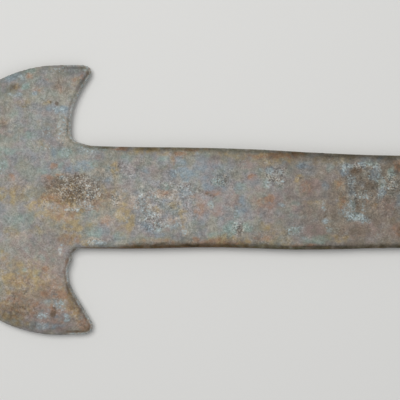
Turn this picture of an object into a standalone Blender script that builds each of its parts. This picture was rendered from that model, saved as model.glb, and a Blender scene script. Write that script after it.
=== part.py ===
"""Copper axe head: a crescent blade with two swept-back horns on a long flat shank, lying on one face.

The head is one hammered casting. +X runs along the shank from the cutting edge to the butt, +Y is
across the blade and +Z is up. The origin is the middle of the footprint, on the surface below.
"""
import math

import bmesh
import bpy
from mathutils import Matrix, Vector

# Whole head, in metres
OVERALL_LENGTH = 0.200
BLADE_WIDTH = 0.100
THICKNESS = 0.0060

# Cutting edge: a half circle on the blade's width, left blunt
EDGE_THICKNESS = 0.0012

# Shank: its width and the height of its middle line, where it leaves the blade and at the butt
SHANK_WIDTH_AT_BLADE = 0.0379
SHANK_WIDTH_AT_BUTT = 0.0340
SHANK_MIDDLE_AT_BLADE = 0.0011
SHANK_MIDDLE_AT_BUTT = -0.0010
BUTT_CORNER_RADIUS = 0.0030

# Hammered waver of the shank's two long edges
UPPER_WAVE = 0.0006
UPPER_WAVE_LENGTH = 0.133
UPPER_WAVE_START = 0.078
LOWER_WAVE = 0.00045
LOWER_WAVE_LENGTH = 0.074
LOWER_WAVE_START = 0.067
WAVE_STATION = 0.009

# Horns: how far the tip's corner and the throat lie behind the middle of the cutting edge's circle
UPPER_HORN_REACH = 0.0136
UPPER_THROAT_SETBACK = 0.0040
UPPER_TIP_RADIUS = 0.0026
UPPER_BACK_RADIUS = 0.0250
LOWER_HORN_REACH = 0.0142
LOWER_THROAT_SETBACK = 0.0028
LOWER_TIP_RADIUS = 0.0030
LOWER_BACK_RADIUS = 0.0160

# How far the lower tip's corner stands in from the blade's full width
LOWER_TIP_RISE = 0.0006

# Where a horn's back turns outwards, as a share of its height from the shank to the tip
UPPER_BEND = 0.50
LOWER_BEND = 0.40

# Upper throat: the shank's edge rises to it in a soft shoulder
SHOULDER_RISE = 0.0020
SHOULDER_LENGTH = 0.0072
SHOULDER_THROAT_RADIUS = 0.0034
SHOULDER_END_RADIUS = 0.0070

# Lower throat: its corner is broken off, which leaves a slant, a small nib and a hollow
CHIP_LENGTH = 0.0028
CHIP_DEPTH = 0.0022
NOOK_SETBACK = 0.0009
NIB_DEPTH = 0.0037
NIB_OVERHANG = 0.0006
HOLLOW_SHARE = 0.235
HOLLOW_RADIUS = 0.0050

# Rims: a flat side wall between two rounded arrises
SIDE_WALL_HEIGHT = 0.0022
RIM_ROUNDING = 0.0016
RIM_STEPS = 3

# Faceting
CHORD_TOLERANCE = 0.00003
GRID = 0.0042
SNAP = 0.000001

# Weathered copper
COPPER_COLOUR = (0.262, 0.245, 0.213, 1.0)
COPPER_ROUGHNESS = 0.72
COPPER_METALLIC = 0.25

BLADE_RADIUS = BLADE_WIDTH / 2
EDGE_CENTRE_X = BLADE_RADIUS - OVERALL_LENGTH / 2
BUTT_X = OVERALL_LENGTH / 2
SHANK_TOP_AT_BLADE = SHANK_MIDDLE_AT_BLADE + SHANK_WIDTH_AT_BLADE / 2
SHANK_TOP_AT_BUTT = SHANK_MIDDLE_AT_BUTT + SHANK_WIDTH_AT_BUTT / 2
SHANK_FOOT_AT_BLADE = SHANK_MIDDLE_AT_BLADE - SHANK_WIDTH_AT_BLADE / 2
SHANK_FOOT_AT_BUTT = SHANK_MIDDLE_AT_BUTT - SHANK_WIDTH_AT_BUTT / 2
SHANK_START_X = EDGE_CENTRE_X + max(UPPER_HORN_REACH, LOWER_HORN_REACH)
FULL_THICKNESS_REACH = BLADE_RADIUS - SHANK_TOP_AT_BLADE - SHOULDER_RISE


def remove_all_objects():
    """Empty the scene."""
    for old in list(bpy.data.objects):
        bpy.data.objects.remove(old, do_unlink=True)


def arc_steps(radius, angle):
    """How many chords an arc needs to stay within the chord tolerance."""
    widest = 2 * math.acos(max(0.0, 1 - CHORD_TOLERANCE / radius))
    return max(2, math.ceil(angle / widest))


def cutting_edge():
    """The half circle of the cutting edge, from the upper horn round to the lower one."""
    steps = arc_steps(BLADE_RADIUS, math.pi)
    for i in range(steps + 1):
        angle = math.pi / 2 + math.pi * i / steps
        yield (EDGE_CENTRE_X + BLADE_RADIUS * math.cos(angle), BLADE_RADIUS * math.sin(angle))


def lower_horn():
    """Corners (x, y, radius) from the lower tip along the horn's back to the shank's lower edge."""
    height = BLADE_RADIUS + SHANK_FOOT_AT_BLADE
    throat_x = EDGE_CENTRE_X + LOWER_THROAT_SETBACK
    foot = SHANK_FOOT_AT_BLADE
    nook_x = throat_x + NOOK_SETBACK
    return [
        (EDGE_CENTRE_X + LOWER_HORN_REACH, LOWER_TIP_RISE - BLADE_RADIUS, LOWER_TIP_RADIUS),
        (throat_x, foot - LOWER_BEND * height, LOWER_BACK_RADIUS),
        (throat_x, foot - HOLLOW_SHARE * height, HOLLOW_RADIUS),
        (nook_x + NIB_OVERHANG, foot - NIB_DEPTH, 0),
        (nook_x, foot - CHIP_DEPTH, 0),
        (nook_x + CHIP_LENGTH, foot, 0),
    ]


def upper_horn():
    """Corners (x, y, radius) from the shank's upper edge up the horn's back to the upper tip."""
    height = BLADE_RADIUS - SHANK_TOP_AT_BLADE
    throat_x = EDGE_CENTRE_X + UPPER_THROAT_SETBACK
    top = SHANK_TOP_AT_BLADE
    return [
        (throat_x + SHOULDER_LENGTH, top, SHOULDER_END_RADIUS),
        (throat_x, top + SHOULDER_RISE, SHOULDER_THROAT_RADIUS),
        (throat_x, top + UPPER_BEND * height, UPPER_BACK_RADIUS),
        (EDGE_CENTRE_X + UPPER_HORN_REACH, BLADE_RADIUS, UPPER_TIP_RADIUS),
    ]


def shank_edge(start, end, amplitude, wave_length, wave_start):
    """Points along one long edge between its two corners, with the hammered waver."""
    length = end[0] - start[0]
    stations = math.ceil(length / WAVE_STATION)
    for i in range(1, stations):
        share = i / stations
        along = share * length
        phase = 2 * math.pi * (along - wave_start) / wave_length
        wave = -amplitude * math.sin(math.pi * share) * math.sin(phase)
        yield (start[0] + along, start[1] + (end[1] - start[1]) * share + wave, 0)


def rounded(chain):
    """Points of an open chain of corners (x, y, radius), each rounded as far as its sides allow."""
    places = [Vector(corner[:2]) for corner in chain]
    turns = [0.0] * len(chain)
    tangents = [0.0] * len(chain)
    for i in range(1, len(chain) - 1):
        turns[i] = abs((places[i] - places[i - 1]).angle_signed(places[i + 1] - places[i]))
        tangents[i] = chain[i][2] * math.tan(turns[i] / 2)
    limits = [1.0] * len(chain)
    for i in range(len(chain) - 1):
        needed = tangents[i] + tangents[i + 1]
        room = (places[i + 1] - places[i]).length
        if needed > room:
            limits[i] = min(limits[i], room / needed)
            limits[i + 1] = min(limits[i + 1], room / needed)
    for i, corner in enumerate(chain):
        if tangents[i] == 0:
            yield tuple(places[i])
            continue
        yield from corner_arc(places[i - 1], places[i], places[i + 1], tangents[i] * limits[i])


def corner_arc(before, corner, after, tangent):
    """Points of the arc that rounds a corner and starts a given length before it."""
    back = (before - corner).normalized()
    ahead = (after - corner).normalized()
    half = back.angle(ahead) / 2
    radius = tangent * math.tan(half)
    centre = corner + (back + ahead).normalized() * (radius / math.sin(half))
    first = corner + back * tangent - centre
    last = corner + ahead * tangent - centre
    sweep = first.angle_signed(last)
    steps = arc_steps(radius, abs(sweep))
    for i in range(steps + 1):
        spoke = first.copy()
        spoke.rotate(Matrix.Rotation(-sweep * i / steps, 2))
        yield tuple(centre + spoke)


def outline():
    """Every point of the plan, anticlockwise from the upper end of the cutting edge."""
    lower = lower_horn()
    upper = upper_horn()
    foot_corner = (BUTT_X, SHANK_FOOT_AT_BUTT, BUTT_CORNER_RADIUS)
    top_corner = (BUTT_X, SHANK_TOP_AT_BUTT, BUTT_CORNER_RADIUS)
    lower_edge = shank_edge(lower[-1], foot_corner, LOWER_WAVE, LOWER_WAVE_LENGTH, LOWER_WAVE_START)
    upper_edge = list(
        shank_edge(upper[0], top_corner, UPPER_WAVE, UPPER_WAVE_LENGTH, UPPER_WAVE_START)
    )
    edge = list(cutting_edge())
    chain = [(*edge[-1], 0), *lower, *lower_edge, foot_corner]
    chain += [top_corner, *reversed(upper_edge), *upper, (*edge[0], 0)]
    return edge[:-1] + list(rounded(chain))[:-1]


def thickness_at(x, y):
    """Thickness of the head: full on the shank, and thinning to the cutting edge and the horns."""
    ahead = min(0.0, x - EDGE_CENTRE_X)
    behind_edge = BLADE_RADIUS - math.hypot(ahead, y)
    share = min(1.0, max(0.0, behind_edge / FULL_THICKNESS_REACH))
    return EDGE_THICKNESS + (THICKNESS - EDGE_THICKNESS) * (1 - (1 - share) ** 2)


def raise_upper_half(bm):
    """Raise the plan from the middle plane: a side wall, then the rounded arris, then the face."""
    face = bm.faces.new([bm.verts.new((x, y, 0)) for x, y in outline()])
    raised = bmesh.ops.extrude_face_region(bm, geom=[face])["geom"]
    top = next(item for item in raised if isinstance(item, bmesh.types.BMFace))
    wall = SIDE_WALL_HEIGHT / 2
    bmesh.ops.translate(bm, verts=top.verts[:], vec=(0, 0, wall))
    if face.is_valid:
        bm.faces.remove(face)
    rise = THICKNESS / 2 - wall
    rounding = min(RIM_ROUNDING, 0.75 * min(UPPER_TIP_RADIUS, LOWER_TIP_RADIUS, BUTT_CORNER_RADIUS))
    for i in range(RIM_STEPS):
        start = math.pi / 2 * i / RIM_STEPS
        end = math.pi / 2 * (i + 1) / RIM_STEPS
        bmesh.ops.inset_region(
            bm,
            faces=[top],
            use_boundary=True,
            use_even_offset=True,
            thickness=rounding * (math.cos(start) - math.cos(end)),
            depth=rise * (math.sin(end) - math.sin(start)),
        )


def cut_blade(bm, point, normal):
    """Cut the faces of the blade, ahead of the shank's start, along one plane."""
    faces = [
        face for face in bm.faces
        if max(vert.co.x for vert in face.verts) <= SHANK_START_X + SNAP
    ]
    edges = {edge for face in faces for edge in face.edges}
    verts = {vert for face in faces for vert in face.verts}
    bmesh.ops.bisect_plane(
        bm, geom=[*verts, *edges, *faces], dist=SNAP, plane_co=point, plane_no=normal
    )


def cut_blade_grid(bm):
    """Cut the blade into a grid fine enough to carry its taper."""
    everything = [*bm.verts, *bm.edges, *bm.faces]
    bmesh.ops.bisect_plane(
        bm, geom=everything, dist=SNAP, plane_co=(SHANK_START_X, 0, 0), plane_no=(1, 0, 0)
    )
    columns = math.ceil((SHANK_START_X + OVERALL_LENGTH / 2) / GRID)
    for i in range(1, columns):
        cut_blade(bm, (SHANK_START_X - i * GRID, 0, 0), (1, 0, 0))
    rows = math.ceil(BLADE_RADIUS / GRID)
    for i in range(1 - rows, rows):
        cut_blade(bm, (0, i * GRID, 0), (0, 1, 0))


def thin_towards_edge(bm):
    """Bring each point in towards the middle plane by the thickness there."""
    for vert in bm.verts:
        vert.co.z *= thickness_at(vert.co.x, vert.co.y) / THICKNESS


def copper():
    """Dull weathered copper."""
    material = bpy.data.materials.new("weathered_copper")
    material.use_nodes = True
    shader = material.node_tree.nodes["Principled BSDF"]
    shader.inputs["Base Color"].default_value = COPPER_COLOUR
    shader.inputs["Roughness"].default_value = COPPER_ROUGHNESS
    shader.inputs["Metallic"].default_value = COPPER_METALLIC
    return material


def make_axe_head():
    """The whole head as one closed solid."""
    bm = bmesh.new()
    raise_upper_half(bm)
    cut_blade_grid(bm)
    bmesh.ops.mirror(
        bm, geom=[*bm.verts, *bm.edges, *bm.faces], matrix=Matrix(), merge_dist=SNAP, axis="Z"
    )
    bmesh.ops.remove_doubles(bm, verts=bm.verts[:], dist=SNAP)
    seam = [edge for edge in bm.edges if all(abs(vert.co.z) < SNAP for vert in edge.verts)]
    bmesh.ops.dissolve_edges(bm, edges=seam, use_verts=True)
    bmesh.ops.triangulate(bm, faces=bm.faces[:])
    thin_towards_edge(bm)
    bmesh.ops.translate(bm, verts=bm.verts[:], vec=(0, 0, THICKNESS / 2))
    bmesh.ops.recalc_face_normals(bm, faces=bm.faces[:])
    mesh = bpy.data.meshes.new("axe_head")
    bm.to_mesh(mesh)
    bm.free()
    mesh.shade_smooth()
    mesh.set_sharp_from_angle(angle=math.radians(35))
    mesh.materials.append(copper())
    head = bpy.data.objects.new("axe_head", mesh)
    bpy.context.scene.collection.objects.link(head)
    return head


remove_all_objects()
make_axe_head()
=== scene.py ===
"""Weathered copper axe head: relief and patina for the solid of a crescent blade on a long shank.

Run as a script. It builds the visible head round the solid, lays its stains and stands the studio.
"""
import math

import bmesh
import bpy
import numpy as np
from bpy.props import FloatProperty, FloatVectorProperty, PointerProperty
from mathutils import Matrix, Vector, noise
from mathutils.bvhtree import BVHTree


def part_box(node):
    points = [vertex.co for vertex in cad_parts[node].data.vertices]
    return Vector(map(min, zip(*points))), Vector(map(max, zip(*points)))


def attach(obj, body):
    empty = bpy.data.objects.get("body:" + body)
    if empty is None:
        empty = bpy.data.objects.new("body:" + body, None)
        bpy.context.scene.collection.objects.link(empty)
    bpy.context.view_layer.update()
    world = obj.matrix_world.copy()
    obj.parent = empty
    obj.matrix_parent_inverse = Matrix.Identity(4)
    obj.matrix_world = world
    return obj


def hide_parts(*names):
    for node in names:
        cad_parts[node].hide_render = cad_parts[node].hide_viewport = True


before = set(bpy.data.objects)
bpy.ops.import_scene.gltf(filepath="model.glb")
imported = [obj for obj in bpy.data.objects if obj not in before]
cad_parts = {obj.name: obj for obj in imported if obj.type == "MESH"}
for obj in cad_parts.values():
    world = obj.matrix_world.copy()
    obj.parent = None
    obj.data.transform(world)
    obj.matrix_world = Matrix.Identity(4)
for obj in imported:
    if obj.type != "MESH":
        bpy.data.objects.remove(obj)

bl_info = {
    "name": "Weathered Copper Axe Head",
    "version": (1, 0, 0),
    "blender": (4, 5, 0),
    "location": "3D View > Sidebar > Axe Head",
    "description": "Builds the relief, the patina and the studio of a copper axe head",
    "category": "Object",
}

NODE = "axe_head"
PIECE = "weathered_axe_head"
BODY = "root"
SLOT = "patinated_copper"
MM = 0.001
LOW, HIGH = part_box(NODE)
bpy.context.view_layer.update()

# Millimetres of the head for each pixel of the photograph, and the pixel over the middle of the head
PIXEL = 0.37
MIDDLE = (195.1, 200.0)

# Stains of the upper face, read off the photograph, by kind and name, in pixels of the photograph:
# across, down, half width, half height, strength and, where it is turned, its turn in degrees
# Among them are painted shade, in the tint that darkens whole stretches and in the dirt along the shank's
# edges, and painted highlights on the horns' tips
STAINS = {
    "earth": {
        "lower blade": (34, 284, 40, 34, 0.62),
        "left edge": (6, 118, 12, 16, 0.45),
        "left middle": (16, 192, 14, 16, 0.45),
        "round the dark patch": (71, 194, 38, 20, 0.70),
        "butt half": (395, 205, 120, 70, 0.80),
        "lower shank": (262, 233, 50, 12, 0.45),
        "neck": (118, 200, 20, 22, 0.50),
        "upper shank": (270, 160, 60, 10, 0.45),
        "upper blade": (62, 84, 14, 16, 0.45),
        "under the horn's root": (58, 238, 16, 14, 0.45),
        "lower horn": (66, 318, 26, 16, 0.55),
    },
    # Painted shade: the head darkened towards the butt, the right and along the rims, where the light
    # falls off, with some darker tone of its own
    "painted_shade_and_dark_tone": {
        "stars' left": (247, 188, 8, 8, 0.30),
        "over the grit": (150, 180, 10, 7, 0.30),
        "pit": (236, 226, 6, 6, 0.40),
        "by the crease": (186, 166, 8, 6, 0.24),
        "left shoulder's foot": (8, 247, 8, 6, 0.30),
        "lower root": (76, 234, 10, 7, 0.26),
        "neck's left": (135, 206, 8, 9, 0.26),
        "low brown": (26, 315, 10, 5, 0.50),
        "horn's dark red": (35, 313, 4, 5, 0.45),
        "stars' right": (279, 170, 9, 10, 0.45),
        "streaks": (308, 167, 13, 8, 0.66),
        "crust's left": (348, 190, 7, 8, 0.72),
        "over the arch": (100, 186, 6, 12, 0.30),
        "over the patch": (45, 172, 9, 7, 0.30),
        "lower edge's start": (168, 238, 36, 6, 0.34),
        "lower edge's middle": (255, 241, 56, 6, 0.50),
        "horn's middle": (45, 295, 8, 6, 0.48),
        "arch's left leg": (41, 200, 8, 5, 0.34, 30),
        "left shoulder": (20, 300, 12, 6, 0.28),
        "red streak": (53, 312, 3, 7, 0.42),
        "horn's spots": (31, 316, 11, 6, 0.58),
        "horn's brown": (52, 289, 14, 8, 0.42),
        "grit's middle": (166, 210, 14, 7, 0.28),
        "butt": (425, 205, 100, 70, 0.62),
        "far shank": (318, 205, 60, 60, 0.46),
        "upper blade": (36, 84, 50, 20, 0.40),
        "upper rim": (40, 70, 40, 9, 0.55, 12),
        "horn's rim": (70, 70, 22, 8, 0.60),
        "upper left": (4, 94, 13, 26, 0.42),
        "upper horn's inner edge": (80, 88, 6, 18, 0.50, -25),
        "lower horn's inner edge": (74, 298, 8, 26, 0.72, 22),
        "lower rim's left": (18, 321, 30, 9, 0.80, -16),
        "lower rim": (60, 331, 36, 8, 0.62, -2),
        "upper edge's left": (160, 152, 56, 9, 0.42),
        "upper middle": (150, 166, 22, 12, 0.35),
        "egg": (10, 89, 14, 8, 0.55),
        "upper blade's middle": (46, 112, 22, 8, 0.30),
        "blade": (28, 118, 36, 40, 0.24),
        "low left": (20, 312, 28, 14, 0.35),
        "crust": (366, 174, 36, 20, 0.60),
        "upper edge's start": (230, 156, 36, 9, 0.50),
        "upper edge's orange": (276, 158, 36, 11, 0.60, -3),
        "upper edge": (340, 157, 90, 11, 0.72, -1),
        "by the star": (266, 170, 24, 15, 0.50),
        "lower right": (345, 236, 80, 15, 0.66),
        "left of the patch": (40, 194, 13, 11, 0.45),
        "pit's column": (230, 212, 10, 24, 0.42),
        "small column": (325, 200, 9, 14, 0.70),
        "ring's inside": (352, 171, 15, 7, 0.60),
        "far middle": (313, 182, 13, 12, 0.62),
        "net": (388, 167, 14, 20, 0.84),
        "left edge": (4, 130, 9, 11, 0.50),
        "upper horn": (84, 72, 10, 10, 0.45),
        "lower horn": (60, 322, 40, 12, 0.46),
        "lower left": (12, 312, 24, 12, 0.55),
        "island": (366, 184, 14, 11, 0.50, -20),
        "crust's right": (394, 186, 10, 18, 0.60),
        "crease": (220, 183, 13, 9, 0.42),
        "upper shank": (235, 168, 60, 14, 0.22),
    },
    "slate": {
        "ring's inside": (366, 168, 7, 4, 0.45),
        "over the stars": (280, 163, 8, 5, 0.45),
        "left streak": (350, 193, 5, 6, 0.55),
        "crease's right": (224, 186, 7, 6, 0.55),
        "crust's island": (360, 184, 6, 5, 0.40),
        "shank sky's foot": (184, 178, 8, 5, 0.70),
        "past the column": (123, 194, 7, 6, 0.55),
        "right of the egg": (24, 85, 5, 5, 0.60),
        "butt's right edge": (399, 201, 7, 14, 0.55),
        "under the crease": (211, 187, 11, 5, 0.60),
        "horn's middle pale": (55, 316, 8, 5, 0.62),
        "horn's left pale": (42, 315, 8, 5, 0.45),
        "horn's upper pale": (52, 304, 11, 6, 0.72),
        "horn's bottom": (50, 326, 22, 4, 0.58),
        "butt's upper edge": (372, 159, 24, 6, 0.45),
        "upper rim": (13, 77, 12, 4, 0.78, 25),
        "by the brown egg": (22, 80, 4, 3, 0.50),
        "under the egg": (18, 95, 5, 3, 0.70),
        "by the pink spot": (34, 94, 3.5, 3, 0.80),
        "sky patch": (62, 110, 8, 5, 1.00),
        "sky patch's left": (50, 110, 6, 3, 0.55),
        "left haze": (12, 130, 9, 6, 0.35),
        "violet haze": (33, 156, 8, 6, 0.20),
        "over the red spot": (55, 153, 6, 6, 0.55),
        "root's haze": (83, 151, 9, 5, 0.35),
        "over the dark patch": (73, 169, 8, 5, 0.70),
        "sky over the patch": (86, 165, 10, 7, 0.85),
        "beside the dark patch": (108, 181, 6, 5, 0.55),
        "lower root": (96, 232, 10, 6, 0.45),
        "root's gleam": (98, 243, 8, 3, 0.45),
        "wide shank": (168, 205, 46, 38, 0.34),
        "upper shank": (205, 172, 34, 14, 0.42),
        "violet of the shank": (146, 169, 9, 5, 0.45),
        "lower grit": (146, 226, 9, 7, 0.60),
        "foot of the grit": (158, 234, 11, 4, 0.55),
        "shank sky": (184, 172, 9, 6, 0.95),
        "shank sky's left": (174, 174, 6, 5, 0.80),
        "over the shank sky": (182, 163, 6, 5, 0.55),
        "shank sky's right": (198, 171, 6, 7, 0.60),
        "violet": (212, 166, 7, 7, 0.45),
        "crease": (216, 181, 11, 7, 0.75),
        "past the crease": (238, 187, 7, 6, 0.50),
        "middle haze": (241, 206, 8, 12, 0.60),
        "pit's left": (229, 228, 7, 7, 0.60),
        "star": (269, 170, 5, 5, 0.70),
        "lilac dot": (281, 205, 4, 3, 0.55),
        "streaks": (302, 165, 10, 5, 0.55),
        "column": (324, 186, 4, 6, 0.50),
        "ringed dot": (325, 221, 5, 3, 0.55),
        "ring's corner": (343, 170, 8, 8, 0.90),
        "crust's left": (350, 183, 5, 7, 0.65),
        "ring's top": (364, 163, 10, 4, 0.70),
        "ring's bend": (374, 175, 6, 8, 0.85),
        "blue foot": (380, 192, 5, 7, 0.75),
        "crust's floor": (352, 203, 4, 7, 0.60),
        "bar": (356, 217, 11, 4, 0.85, -14),
        "lower rim": (35, 325, 10, 5, 0.60),
        "lower horn": (67, 317, 6, 6, 0.60),
    },
    "verdigris": {
        "neck's middle": (122, 179, 7, 6, 0.42),
        "left field's foot": (8, 171, 7, 6, 0.42),
        "neck's top": (113, 169, 7, 7, 0.40),
        "edge's dot": (204, 154, 9, 4, 0.42),
        "left middle's top": (20, 149, 8, 6, 0.42),
        "lower left": (2, 307, 6, 6, 0.36),
        "pit's foot": (226, 234, 11, 5, 0.62),
        "horn": (77, 70, 8, 4, 0.50),
        "yellow square": (35, 273, 7, 6, 0.58),
        "lower edge": (207, 240, 9, 3, 0.45),
        "far field": (290, 217, 9, 6, 0.40),
        "crust's right": (378, 182, 6, 7, 0.45),
        "over the patch": (43, 171, 7, 6, 0.50),
        "left field": (16, 117, 8, 7, 0.40),
        "lower far edge": (316, 239, 15, 5, 0.82),
        "between the yellow spots": (23, 271, 6, 6, 0.60),
        "upper blade's field": (44, 112, 34, 26, 0.18),
        "throat's left": (48, 124, 9, 13, 0.26),
        "by the brown egg": (25, 86, 5, 5, 1.00),
        "upper rim": (29, 72, 8, 4, 0.70, 20),
        "upper blade": (31, 135, 7, 5, 0.75),
        "left edge": (8, 151, 11, 5, 0.70),
        "left edge's foot": (4, 166, 6, 6, 0.75),
        "mint patch": (66, 154, 7, 7, 0.95),
        "over the pink spot": (62, 166, 4, 4, 0.60),
        "shank's root": (94, 164, 5, 5, 0.70),
        "throat": (66, 128, 5, 12, 0.35),
        "left middle": (18, 221, 20, 13, 0.50),
        "under the dark patch": (93, 212, 6, 6, 0.50),
        "neck": (96, 232, 11, 6, 0.60),
        "lower root": (118, 237, 7, 6, 0.50),
        "lower blade": (40, 258, 7, 5, 0.60),
        "lower horn": (48, 303, 7, 5, 0.55),
        "lower horn's right": (62, 304, 6, 6, 0.60),
        "upper root": (128, 157, 10, 5, 0.55),
        "upper edge": (162, 158, 8, 4, 0.60),
        "green drop": (165, 186, 7, 4, 0.55),
        "crease": (217, 182, 8, 5, 0.65),
        "past the crease": (240, 187, 6, 5, 0.50),
        "left of the pit": (229, 228, 8, 8, 1.00),
        "right of the pit": (246, 227, 6, 7, 0.70),
        "over the pit": (239, 216, 7, 6, 0.55),
        "lower shank": (214, 234, 9, 4, 0.65),
        "pale oval": (264, 184, 6, 6, 0.55),
        "small green": (294, 203, 6, 4, 0.45),
        "far shank": (328, 168, 6, 5, 0.50),
        "lower far shank": (294, 230, 10, 6, 0.45),
        "tip": (389, 174, 5, 7, 0.80),
        "ring's top": (368, 163, 9, 4, 0.55),
        "bar": (354, 216, 8, 4, 0.60, -14),
        "crust's floor": (352, 204, 4, 6, 0.60),
        "small oval": (211, 204, 5, 5, 0.50),
    },
    "mauve": {
        "grit's foot": (170, 227, 8, 6, 0.45),
        "over the pit": (223, 222, 7, 5, 0.50),
        "middle haze": (240, 204, 8, 8, 0.45),
        "foot of the arch": (72, 229, 8, 5, 0.45),
        "by the pale oval": (260, 189, 8, 6, 0.60),
        "grit's lilac": (148, 204, 7, 15, 0.58),
        "root": (81, 158, 7, 5, 0.45),
        "left haze": (9, 132, 7, 6, 0.50),
        "pink spot": (33, 91, 5, 4, 0.50),
        "foot of the grit": (154, 234, 13, 4, 0.55),
        "upper band": (301, 160, 8, 4, 0.45),
        "under the pale oval": (250, 198, 11, 7, 0.55),
        "right of the grit": (188, 207, 7, 9, 0.62),
        "violet haze": (33, 154, 10, 8, 0.28),
        "under the sky": (176, 184, 22, 8, 0.48),
        "over the sky": (150, 172, 18, 9, 0.50),
        "upper violet": (212, 164, 9, 8, 0.70),
        "grit's field": (156, 219, 18, 12, 0.55),
        "blush": (44, 262, 42, 36, 0.55),
        "left blush": (20, 240, 26, 14, 0.45),
        "horn's blush": (56, 318, 36, 18, 0.66),
        "by the throat": (60, 272, 8, 16, 0.50),
        "below the crease": (200, 205, 7, 11, 1.00),
        "right below the crease": (217, 211, 9, 9, 0.50),
        "crease's lip": (212, 194, 12, 4, 0.75),
        "violet pink": (232, 200, 8, 10, 0.85),
        "upper shank": (244, 165, 9, 8, 0.66),
        "left of the star": (251, 178, 7, 6, 0.70),
        "under the orange": (262, 210, 10, 7, 0.55),
        "red haze": (288, 192, 9, 6, 0.50),
        "far shank": (309, 187, 13, 10, 0.95),
        "far field": (290, 202, 44, 30, 0.42),
        "crease's field": (220, 196, 34, 18, 0.35),
        "far shank's foot": (312, 202, 9, 5, 0.45),
        "lower shank": (310, 231, 16, 8, 0.75),
        "butt": (374, 230, 34, 12, 0.46),
        "butt's middle": (386, 208, 12, 12, 0.60),
        "left edge": (3, 132, 5, 5, 0.60),
        "upper streak": (34, 112, 13, 3, 0.50, -18),
        "shank's arc": (161, 194, 12, 4, 0.75),
        "grit's left": (134, 203, 6, 6, 0.60),
        "grit's middle": (176, 204, 6, 6, 0.50),
        "root's pink": (98, 157, 5, 3, 0.60),
        "red streak": (53.5, 313, 4, 8, 1.00),
    },
    "ochre": {
        "upper edge": (225, 154, 10, 4, 0.60),
        "root's gleam": (86, 243, 9, 4, 0.55),
        "left middle's foot": (36, 231, 9, 6, 0.44),
        "left middle": (12, 232, 10, 7, 0.42),
        "grit's lower right": (183, 214, 7, 8, 0.50),
        "far lower left": (2, 315, 8, 6, 0.85),
        "far left shoulder": (3, 254, 7, 8, 0.55),
        "neck's foot": (91, 225, 8, 6, 0.50),
        "left of the arch's leg": (33, 205, 8, 7, 0.62),
        "grit's right": (174, 204, 8, 7, 0.50),
        "under the crest": (80, 211, 8, 5, 0.80),
        "arch's pearl": (66, 204, 10, 6, 1.00),
        "far left edge": (2, 195, 8, 9, 0.66),
        "lower root": (73, 237, 15, 8, 0.62),
        "throat's left": (48, 126, 10, 13, 0.22),
        "low left": (8, 318, 16, 6, 0.45, -16),
        "left of the patch": (24, 192, 20, 14, 0.34),
        "far lower edge": (275, 242, 26, 7, 0.40),
        "lower edge": (160, 241, 34, 4, 0.34),
        "lower edge's field": (228, 240, 30, 7, 0.50),
        "upper olive": (330, 160, 30, 6, 0.40, 2),
        "upper band's field": (275, 158, 32, 9, 0.52, 2),
        "lower rim's left": (16, 319, 22, 7, 0.55, -16),
        "arch's field": (60, 209, 26, 20, 0.55),
        "lower blade's field": (25, 278, 32, 22, 0.55),
        "patch's right field": (100, 196, 18, 14, 0.45),
        "neck's field": (123, 214, 10, 24, 0.50),
        "horn's inner field": (71, 304, 8, 24, 0.55, 20),
        "upper rim's olive": (170, 151, 60, 6, 0.45, 1),
        "brown egg": (14, 87, 7, 5, 0.60, 10),
        "pale yellow": (23, 103, 12, 4, 0.35),
        "by the small pits": (47, 103.5, 5, 3, 0.60),
        "throat's yellow": (44, 144, 8, 6, 0.30),
        "left edge": (3, 121, 8, 5, 0.55),
        "left of the arch": (15, 196, 6, 10, 0.65, 10),
        "arch's left leg": (41, 203, 7, 4, 0.85, 35),
        "arch's crown": (50, 198, 10, 4.5, 1.00),
        "arch's right leg": (60, 205, 7, 4, 1.00, -40),
        "left under the arch": (47, 214, 10, 6, 0.90),
        "middle under the arch": (58, 214, 11, 8, 1.00),
        "right under the arch": (73, 220, 8, 8, 0.95),
        "foot of the arch": (72, 227, 12, 6, 0.85),
        "under the left leg": (30, 210, 6, 4, 0.45),
        "dark patch": (74, 190, 26, 13, 0.50),
        "dark patch's floor": (70, 201, 10, 5, 0.80),
        "right of the patch": (100, 193, 10, 10, 0.55),
        "past the column": (118, 196, 8, 10, 0.45),
        "neck's top": (115, 169, 6, 9, 0.70),
        "yellow spot": (123, 215, 9, 8, 1.00),
        "yellow trail": (129, 220, 7, 12, 0.85),
        "by the pink spot": (101, 218, 5, 4, 0.60),
        "left yellow": (9, 275, 9, 8, 1.00),
        "yellow square": (35, 275, 6, 6, 1.00),
        "orange of the blade": (20, 281, 10, 9, 0.65),
        "yellow drip": (12, 291, 8, 6, 0.55),
        "over the square": (28, 264, 4, 5, 0.60),
        "lower blade": (26, 268, 34, 12, 0.35),
        "horn's upper strip": (69, 297, 4, 7, 0.85, 20),
        "horn's inner strip": (75, 309, 4, 10, 0.95, 23),
        "lower left": (4, 305, 7, 6, 1.00),
        "lower brown": (20, 309, 14, 7, 0.60),
        "upper band": (268, 155.5, 16, 3.5, 1.00, 2),
        "band's left": (240, 157, 10, 4, 0.50),
        "ring of the small pit": (298, 180, 6, 6, 0.75),
        "olive bar": (311, 202.5, 10, 3, 0.60),
        "grit's dot": (157, 208.5, 5, 4, 0.70),
        "grit's drip": (183, 224, 3, 8, 0.50),
        "root band": (148, 150, 26, 4, 0.60),
        "crust's orange": (373, 205, 4, 4, 0.90),
        "left of the crust": (336, 184, 6, 7, 0.40),
        "left of the crust's foot": (340, 201, 5, 8, 0.45),
        "edge's first orange": (222, 242, 12, 4, 0.90),
        "edge's second orange": (242, 243, 10, 4, 0.90),
        "lower shank": (266, 227, 10, 7, 0.50),
        "lower shank's right": (276, 235, 10, 5, 0.45),
        "far edge": (336, 238, 16, 4, 0.55),
        "olive vein": (22, 105.5, 6, 1.4, 0.60, -28),
        "horn": (76, 82, 5, 7, 0.45),
        "upper middle": (172, 160, 4, 6, 0.45),
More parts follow.
